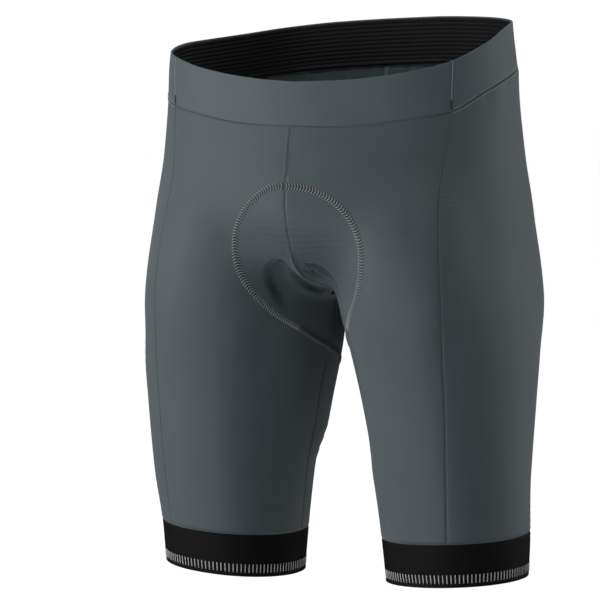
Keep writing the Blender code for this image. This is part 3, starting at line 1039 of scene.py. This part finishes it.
def padFinish():
    # moulded foam under green jersey: darker channels and sides, small air holes, fine lines
    finish = Finish("moulded green foam", 0.55, Sheen_Weight=0.3)
    across, along = finish.uv()
    side = finish.node("Math", {"operation": "ABSOLUTE"}, i0=across)
    inner = finish.ease(side, *foam["channelEdge"], 1.0, 0.0)
    ends = finish.ease(along, *foam["channelStart"], 0.0, 1.0)
    outer = finish.ease(side, *foam["sideEdge"], 0.0, 1.0)
    seat = finish.ease(along, *foam["seatStart"], 0.0, 1.0)
    holes = finish.wave(across, foam["holePitch"]) * finish.wave(along, foam["holePitch"])
    hole = finish.above(holes, foam["holeLimit"]) * inner * ends
    bowed = along + side * side * foam["lineBow"]
    lines = finish.above(finish.wave(bowed, foam["linePitch"]), foam["lineLimit"])
    line = lines * (1.0 - inner) * (1.0 - outer)
    sideShare = outer * (foam["sideShare"] + seat * foam["seatShare"])
    colour = finish.mix(sideShare, foam["green"], foam["sides"])
    for share, tone in ((inner * ends * 0.7, "channel"), (line * 0.6, "line"), (hole * 0.9, "hole")):
        colour = finish.mix(share, colour, foam[tone])
    finish.feed("Base Color", colour)
    place = finish.node("TexCoord", out=3)
    nap = finish.node("TexNoise", Vector=place, Scale=700.0, Detail=3.0)
    finish.feed("Roughness", 0.5 + nap * 0.2)
    finish.bump(nap * 0.4 - hole, 0.3, 0.0003)
    return finish.material


def closedPad(name, inner, outer, material):
    # a grid for the outer face, drawn out into a second one for the inner face
    rows, columns = inner.shape[:2]
    shape = bmesh.new()
    bmesh.ops.create_grid(shape, x_segments=columns - 1, y_segments=rows - 1, size=0.5)
    drawn = bmesh.ops.extrude_face_region(shape, geom=shape.faces[:], use_keep_orig=True)
    raised = {part for part in drawn["geom"] if isinstance(part, bmesh.types.BMVert)}
    cloth = shape.loops.layers.uv.new("cloth")
    spot = {}
    for vertex in shape.verts:
        column = round((vertex.co.x + 0.5) * (columns - 1))
        row = round((vertex.co.y + 0.5) * (rows - 1))
        spot[vertex] = (row, column)
    steps = np.diff(outer, axis=1, prepend=outer[:, :1])
    flatAcross = np.cumsum(np.linalg.norm(steps, axis=-1), axis=1)
    flatAcross -= flatAcross[:, columns // 2][:, None]
    flatAlong = pathLength(outer[:, columns // 2])
    for face in shape.faces:
        for loop in face.loops:
            row, column = spot[loop.vert]
            loop[cloth].uv = (flatAcross[row, column] * mm, flatAlong[row] * mm)
    for vertex, (row, column) in spot.items():
        vertex.co = (inner if vertex in raised else outer)[row, column] * mm
    bmesh.ops.recalc_face_normals(shape, faces=shape.faces)
    data = finishMesh(name, shape, material)
    data.shade_smooth()
    return addPiece(name, data)


def makePad():
    grid, stations, halfWidth = padGrid()
    depth = padDepth(stations, halfWidth)
    back = np.minimum(relief(grid), 0) - pad["behind"]
    outer = grid + outward(grid) * back[..., None]
    inner = grid + outward(grid) * (back - depth)[..., None]
    cushion = closedPad("seat_pad_foam", inner, outer, padFinish())
    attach(cushion, "root")
    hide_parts("seat_pad")


makePad()
print("pad made")


# Sewing

# heights of a stitch over the cloth from end to end
stitchLifts = np.array([-0.22, 0.24, 0.24, -0.22])


def threads(name, strands, radius, material):
    # many short threads as one mesh, each strand a row of points in millimetres
    curve = bpy.data.curves.new(name, "CURVE")
    curve.dimensions = "3D"
    curve.bevel_depth = radius * mm
    curve.bevel_resolution = 1
    curve.use_fill_caps = True
    for strand in strands:
        run = curve.splines.new("POLY")
        run.points.add(len(strand) - 1)
        run.points.foreach_set("co", np.column_stack([strand * mm, np.ones(len(strand))]).ravel())
    tube = addPiece(name + "_run", curve)
    bpy.context.view_layer.update()
    data = bpy.data.meshes.new_from_object(tube.evaluated_get(bpy.context.evaluated_depsgraph_get()))
    bpy.data.objects.remove(tube)
    shape = bmesh.new()
    shape.from_mesh(data)
    bmesh.ops.remove_doubles(shape, verts=shape.verts, dist=0.000001)
    bmesh.ops.recalc_face_normals(shape, faces=shape.faces)
    shape.to_mesh(data)
    shape.free()
    data.materials.clear()
    data.materials.append(material)
    data.shade_smooth()
    piece = addPiece(name, data)
    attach(piece, "root")


def layStrands(path, marks, lifts):
    # marks are distances along a seam and out to its side; lifts are heights over the cloth
    along = pathLength(path)
    way = np.gradient(path, along, axis=0)
    station = np.clip(marks[..., 0], 0, along[-1])
    place = np.stack([np.interp(station, along, path[:, k]) for k in range(3)], -1)
    ahead = np.stack([np.interp(station, along, way[:, k]) for k in range(3)], -1)
    across = np.cross(outward(place), ahead)
    across /= np.linalg.norm(across, axis=-1, keepdims=True)
    flat = settle(place + across * marks[..., 1:], 3)
    return onCloth(flat, lifts)


def runningStitch(path, pitch, offset, share=0.78, lift=0.0):
    # a row of stitches that dip into the cloth at their ends
    count = int(pathLength(path)[-1] / pitch)
    start = (np.arange(count) * pitch)[:, None]
    ahead = start + pitch * share * np.array([0, 0.25, 0.75, 1.0])
    marks = np.stack([ahead, np.full((count, 4), offset)], -1)
    return layStrands(path, marks, lift + stitchLifts)


def ladderStitch(path, pitch, first, last, slant=0.5, lift=0.0):
    # threads that cross from one side of a seam to the other and back
    count = int(pathLength(path)[-1] / pitch) - 1
    start = (np.arange(count) * pitch)[:, None]
    share = np.array([0, 0.3, 0.7, 1.0])
    over = (start + pitch * slant * share, first + (last - first) * share + 0 * start)
    back = (start + pitch * (slant + (1 - slant) * share), last + (first - last) * share + 0 * start)
    marks = np.concatenate([np.stack(over, -1), np.stack(back, -1)])
    return layStrands(path, marks, lift + stitchLifts)


def smoothLoop(path, count, rounds):
    # an evenly spaced closed path with its corners eased
    along = pathLength(path)
    loop = pathPoints(path, np.linspace(0, along[-1], count + 1)[:-1])
    for _ in range(rounds):
        loop = (np.roll(loop, 1, 0) + loop * 2 + np.roll(loop, -1, 0)) / 4
    loop = settle(loop, 4)
    return np.vstack([loop, loop[:1]])


sewing = {
    "flatPitch": 2.3,
    "flatHalf": 1.5,
    "edgePitch": 3.0,
    "edgeOffset": 1.0,
    "edgeRadius": 0.2,
    "flatRadius": 0.22,
    "frontPitch": 2.6,
    "frontHalf": 2.1,
    "frontRadius": 0.36,
    "bandPitch": 2.8,
    "bandHalf": 1.7,
    "bandRadius": 0.34,
    "bandSunk": -0.05,
    "bandFrontOffset": -1.1,
    "bandUnderRadius": 0.18,
    "bandSideOffset": 0.4,
    "bandSideLift": 0.15,
    "tackPoints": 9,
    "tackPitch": 0.7,
    "tackHalf": 1.4,
    "tackLift": 0.4,
    "tackRadius": 0.32,
    "padCovers": 16.0,
    "lightThread": (0.33, 0.36, 0.375),
    "paleThread": (0.2, 0.225, 0.235),
    "clothThread": (0.105, 0.125, 0.133),
    "darkThread": (0.012, 0.013, 0.015),
}
lightThread = threadFinish("light grey thread", sewing["lightThread"])
paleThread = threadFinish("pale grey thread", sewing["paleThread"])
clothThread = threadFinish("grey thread", sewing["clothThread"])
darkThread = threadFinish("dark thread", sewing["darkThread"])


# The seam round the pad, just outside it: how far along it and to the side, and how far
# the whole of it is sewn off towards the wearer's left
ring = {
    "rungPitch": 2.9,
    "rungHalf": 3.1,
    "rungRadius": 0.42,
    "rungAhead": np.array([0.0, 0.5, 1.1, 1.5, 1.1, 0.5, 0.0]),
    "rungAcross": np.array([-1.0, -0.75, -0.3, 0.0, 0.3, 0.75, 1.0]),
    "rungLifts": np.array([-0.2, 0.3, 0.42, 0.3, 0.42, 0.3, -0.2]),
    "bedPitch": 1.45,
    "bedHalf": 3.6,
    "bedSunk": -0.08,
    "bedRadius": 0.3,
    "aside": 6.0,
    # where the ring's thread turns darker grey towards the back, on each side: painted shade between
    # the legs
    "paintedShadeFrom": {"left": -81.0, "right": -52.0},
    "outline": table(
        "along side",
        (5, 0),
        (5.5, 12),
        (9, 25),
        (17, 39),
        (30, 52),
        (46, 61),
        (66, 66),
        (90, 66),
        (118, 61.5),
        (150, 59),
        (185, 58),
        (215, 62),
        (240, 76),
        (266, 92),
        (290, 99),
        (313, 90),
        (333, 66),
        (344, 34),
        (345, 0),
    ),
}


def padRing():
    outline = ring["outline"]
    corner = np.arange(len(outline["along"]), dtype=float)
    turn = np.linspace(0, corner[-1], 260)
    along = smoothCurve(corner, outline["along"], turn)
    reach = smoothCurve(corner, outline["side"], turn)
    aside = ring["aside"] * easeIn(reach / 45) * (1 - easeIn((along - 150) / 110))
    left = walkOut(along, reach + aside)[:, -1]
    right = mirrored(walkOut(along, reach - aside)[:, -1])
    return smoothLoop(np.vstack([left, right[::-1][1:]]), 420, 3)


def sewPadRing():
    # dark loops underneath, and light threads across them in a herringbone; between the legs the light
    # threads are drawn in a darker grey, as painted shade
    path = padRing()
    half, bed = ring["rungHalf"], ring["bedHalf"]
    loops = ladderStitch(path, ring["bedPitch"], -bed, bed, lift=ring["bedSunk"])
    threads("pad_ring_loops", loops, ring["bedRadius"], darkThread)
    count = int(pathLength(path)[-1] / ring["rungPitch"])
    start = (np.arange(count) * ring["rungPitch"])[:, None]
    marks = np.stack([start + ring["rungAhead"], ring["rungAcross"] * half + 0 * start], -1)
    strands = layStrands(path, marks, ring["rungLifts"])
    # between the legs, where shade falls, the ring's thread is drawn in the cloth's darker grey:
    # painted shade
    last = np.where(strands[:, 3, 0] > 0, ring["paintedShadeFrom"]["left"], ring["paintedShadeFrom"]["right"])
    lightPart = strands[:, 3, 1] < last
    threads("pad_ring_stitching", strands[lightPart], ring["rungRadius"], lightThread)
    threads("pad_ring_stitching_painted_shade", strands[~lightPart], ring["rungRadius"], clothThread)


def sewPanelSeams():
    flatHalf, frontHalf = sewing["flatHalf"], sewing["frontHalf"]
    edge, joined = [], []
    for side in (1, -1):
        grids = halves[side][0]
        for seamLine in (grids["side"][:, 0], grids["side"][:, -1]):
            path = pathPoints(seamLine, np.linspace(0, pathLength(seamLine)[-1], 300))
            edge.append(runningStitch(path, sewing["edgePitch"], -side * sewing["edgeOffset"], 0.8))
        inseam = grids["front"][mesh["riseRows"]:, 0]
        joined.append(pathPoints(inseam, np.linspace(sewing["padCovers"], pathLength(inseam)[-1], 200)))
    centreFront = halves[1][0]["front"][: mesh["riseRows"] // 3, 0]
    above = centreFront[centreFront[:, 2] > -pad["start"]]
    joined += [above, halves[1][0]["back"][: mesh["riseRows"] // 2, -1]]
    rows = [runningStitch(above, sewing["frontPitch"], row, 0.6) for row in (-frontHalf, frontHalf)]
    flat = [ladderStitch(path, sewing["flatPitch"], -flatHalf, flatHalf) for path in joined]
    threads("centre_front_stitching", np.concatenate(rows), sewing["frontRadius"], paleThread)
    threads("seam_edge_stitching", np.concatenate(edge), sewing["edgeRadius"], clothThread)
    threads("flat_seam_stitching", np.concatenate(flat), sewing["flatRadius"], clothThread)


def bandSeam(part):
    angles = bandAngles(part)
    return waistPoint(angles, around("seam", angles))


def sewWaistband():
    back, front = bandSeam("back"), bandSeam("front")
    half, tack = sewing["bandHalf"], sewing["tackHalf"]
    rows = [runningStitch(back, sewing["bandPitch"], row, 0.85) for row in (-half, half)]
    threads("back_band_stitching", np.concatenate(rows), sewing["bandRadius"], lightThread)
    under = [
        ladderStitch(back, sewing["bandPitch"], -half, half, lift=sewing["bandSunk"]),
        runningStitch(front, sewing["edgePitch"], sewing["bandFrontOffset"], 0.6),
    ]
    threads("front_band_stitching", np.concatenate(under), sewing["bandUnderRadius"], clothThread)
    sides, tacks = [], []
    for side in (1, -1):
        shares = np.linspace(0.01, 0.99, 40)
        seamLine = bandGrid("back", 0.0, None, shares)[:, 0 if side > 0 else -1]
        offset = -side * sewing["bandSideOffset"]
        sides.append(runningStitch(seamLine, sewing["frontPitch"], offset, 0.9, sewing["bandSideLift"]))
        # a bar tack over the corner where the four seams meet
        corner = seamLine[-sewing["tackPoints"]:]
        tacks.append(ladderStitch(corner, sewing["tackPitch"], -tack, tack, lift=sewing["tackLift"]))
    threads("band_side_stitching", np.concatenate(sides), sewing["frontRadius"], lightThread)
    threads("bar_tacks", np.concatenate(tacks), sewing["tackRadius"], darkThread)


def sewElastic():
    # a zigzag that holds the elastic's lower edge, seen inside the waist
    pitch = elastic["zigzagPitch"]
    rows = bandGrid("back", elastic["drop"], elastic["height"], np.array(elastic["zigzagShares"]))
    stations = np.arange(2.0, pathLength(rows[0])[-1] - 4.0, pitch)
    start, ending = pathPoints(rows[0], stations), pathPoints(rows[0], stations + pitch)
    turn = pathPoints(rows[1], stations + pitch / 2)
    down = np.stack([start, (start + turn) / 2, turn], 1)
    up = np.stack([turn, (turn + ending) / 2, ending], 1)
    strands = np.concatenate([down, up])
    behind = elastic["behind"] + elastic["ribHeight"] + 0.1
    strands = strands - outward(strands) * behind
    threads("waist_elastic_zigzag", strands, elastic["zigzagRadius"], darkThread)


ticks = {
    "pitch": 4.0,
    "from": 4.2,
    "to": 12.8,
    "radius": 0.72,
    "sunk": -0.42,
    "colour": (0.5, 0.5, 0.5),
}


def hemTicks():
    # the row of light ticks knitted in just above each hem
    material = threadFinish("light reflective yarn", ticks["colour"])
    for side, sideName in ((1, "left"), (-1, "right")):
        top, degrees = legEnd(side)
        line = thighPoint(degrees, top[:, 2] - hem["bandHeight"])
        along = pathLength(line)
        count = int(round(along[-1] / ticks["pitch"]))
        station = (np.arange(count) + 0.5) * along[-1] / count
        turn = np.interp(station, along, degrees)
        height = np.interp(station, along, top[:, 2]) - hem["bandHeight"]
        rise = np.linspace(ticks["from"], ticks["to"], 4)
        points = thighPoint(turn[:, None] + 0 * rise, height[:, None] + rise)
        points = points if side > 0 else mirrored(points)
        strands = onCloth(points, ticks["sunk"])
        threads(f"hem_ticks_{sideName}", strands, ticks["radius"], material)


overlock = {"half": 3.0, "lift": -0.95, "thickness": 0.6, "step": 4.0, "inseamSkips": 10}


def innerSeam(name, path):
    # the trimmed and overlocked seam allowance inside the cloth
    offsets = np.linspace(-overlock["half"], overlock["half"], 5)
    length = pathLength(path)[-1]
    stations = np.linspace(1.0, length - 1.0, max(12, int(length / overlock["step"])))
    marks = np.stack(np.broadcast_arrays(stations[:, None], offsets[None, :]), -1)
    points = layStrands(path, marks, np.full(len(offsets), overlock["lift"]))
    tape = clothSheet(name, points, overlock["thickness"], clothThread)
    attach(tape, "root")


def overlockSeams():
    for side, sideName in ((1, "left"), (-1, "right")):
        grids = halves[side][0]
        innerSeam(f"overlock_side_front_{sideName}", grids["side"][:, 0])
        innerSeam(f"overlock_side_back_{sideName}", grids["side"][:, -1])
        first = mesh["riseRows"] + overlock["inseamSkips"]
        innerSeam(f"overlock_inseam_{sideName}", grids["front"][first:, 0])
    # further down the pad covers the rise seam
    innerSeam("overlock_centre_front", halves[1][0]["front"][: mesh["riseRows"] // 3, 0])
    innerSeam("overlock_centre_back", halves[1][0]["back"][: mesh["riseRows"] * 2 // 3, -1])
    waistSeam = np.vstack([bandSeam("front"), bandSeam("back")[1:]])
    innerSeam("overlock_waist", waistSeam)


sewPadRing()
sewPanelSeams()
sewWaistband()
sewElastic()
hemTicks()
overlockSeams()
print("sewing done")


# Stage, light and camera

view = {
    "azimuth": 22.73,
    "elevation": 4.19,
    "distance": 3.0988,
    "focalPixels": 3106.4,
    "across": -0.04155,
    "up": -0.25532,
}


def makeCamera():
    azimuth, elevation = math.radians(view["azimuth"]), math.radians(view["elevation"])
    right = Vector((math.cos(azimuth), math.sin(azimuth), 0.0))
    back = Vector((
        math.sin(azimuth) * math.cos(elevation),
        -math.cos(azimuth) * math.cos(elevation),
        math.sin(elevation),
    ))
    target = right * view["across"] + Vector((0.0, 0.0, view["up"]))
    data = bpy.data.cameras.new("camera")
    data.sensor_width = 36.0
    data.lens = view["focalPixels"] * 36.0 / 600.0
    data.clip_end = 50.0
    camera = addPiece("camera", data)
    camera.location = target + back * view["distance"]
    camera.rotation_euler = back.to_track_quat("Z", "Y").to_euler()
    bpy.context.scene.camera = camera
    return right, back


studio = {
    "floorHeight": -0.62,
    "paper": (0.1, 0.1, 0.1),
    "glow": 1.0,
    "world": 1.02,
    "lampDistance": 3.0,
    "lampWidth": 1.5,
    "lamps": (
        # name, degrees round from the camera to its right, degrees up, strength
        ("key low", -80, 0, 45.0),
        ("key high", -80, 40, 32.0),
        ("bounce from below", -30, -30, 34.0),
        ("front high", 20, 40, 18.5),
        ("rim low", 110, 0, 13.2),
        ("rim high", 110, 40, 25.2),
        ("side right", 80, 0, 7.4),
        ("front low", 0, 0, 5.0),
    ),
}


def makeStudio(right, back):
    # lit paper: bright by itself, and it throws no light on the cloth
    paper = Finish("white paper", 0.9, Emission_Strength=studio["glow"])
    paper.shader.inputs["Specular IOR Level"].default_value = 0.0
    place = paper.node("TexCoord", out=3)
    grain = paper.node("TexNoise", Vector=place, Scale=80.0)
    tone = paper.mix(grain, tuple(0.97 * c for c in studio["paper"]), studio["paper"])
    paper.feed("Base Color", tone)
    paper.shader.inputs["Emission Color"].default_value = (1.0, 1.0, 1.0, 1.0)
    shape = bmesh.new()
    bmesh.ops.create_grid(shape, x_segments=1, y_segments=1, size=30.0)
    for vertex in shape.verts:
        vertex.co.z = studio["floorHeight"]
    floor = addPiece("floor", finishMesh("floor", shape, paper.material))
    floor.visible_diffuse = False
    floor.visible_glossy = False
    floor.visible_shadow = False
    level = Vector((back.x, back.y, 0.0)).normalized()
    middle = Vector((0.0, 0.0, view["up"]))
    for name, turn, rise, strength in studio["lamps"]:
        turn, rise = math.radians(turn), math.radians(rise)
        way = (right * math.sin(turn) + level * math.cos(turn)) * math.cos(rise)
        way.z += math.sin(rise)
        data = bpy.data.lights.new(name, "AREA")
        data.size = studio["lampWidth"]
        data.energy = strength
        lamp = addPiece(name, data)
        lamp.visible_camera = False
        lamp.location = middle + way * studio["lampDistance"]
        lamp.rotation_euler = way.to_track_quat("Z", "Y").to_euler()
    world = bpy.data.worlds.new("studio")
    world.use_nodes = True
    world.node_tree.nodes["Background"].inputs[0].default_value = (1, 1, 1, 1)
    world.node_tree.nodes["Background"].inputs[1].default_value = studio["world"]
    bpy.context.scene.world = world
    world.cycles_visibility.diffuse = False
    world.cycles_visibility.glossy = False
    bpy.context.scene.view_settings.view_transform = "Standard"


makeStudio(*makeCamera())
print("studio set")
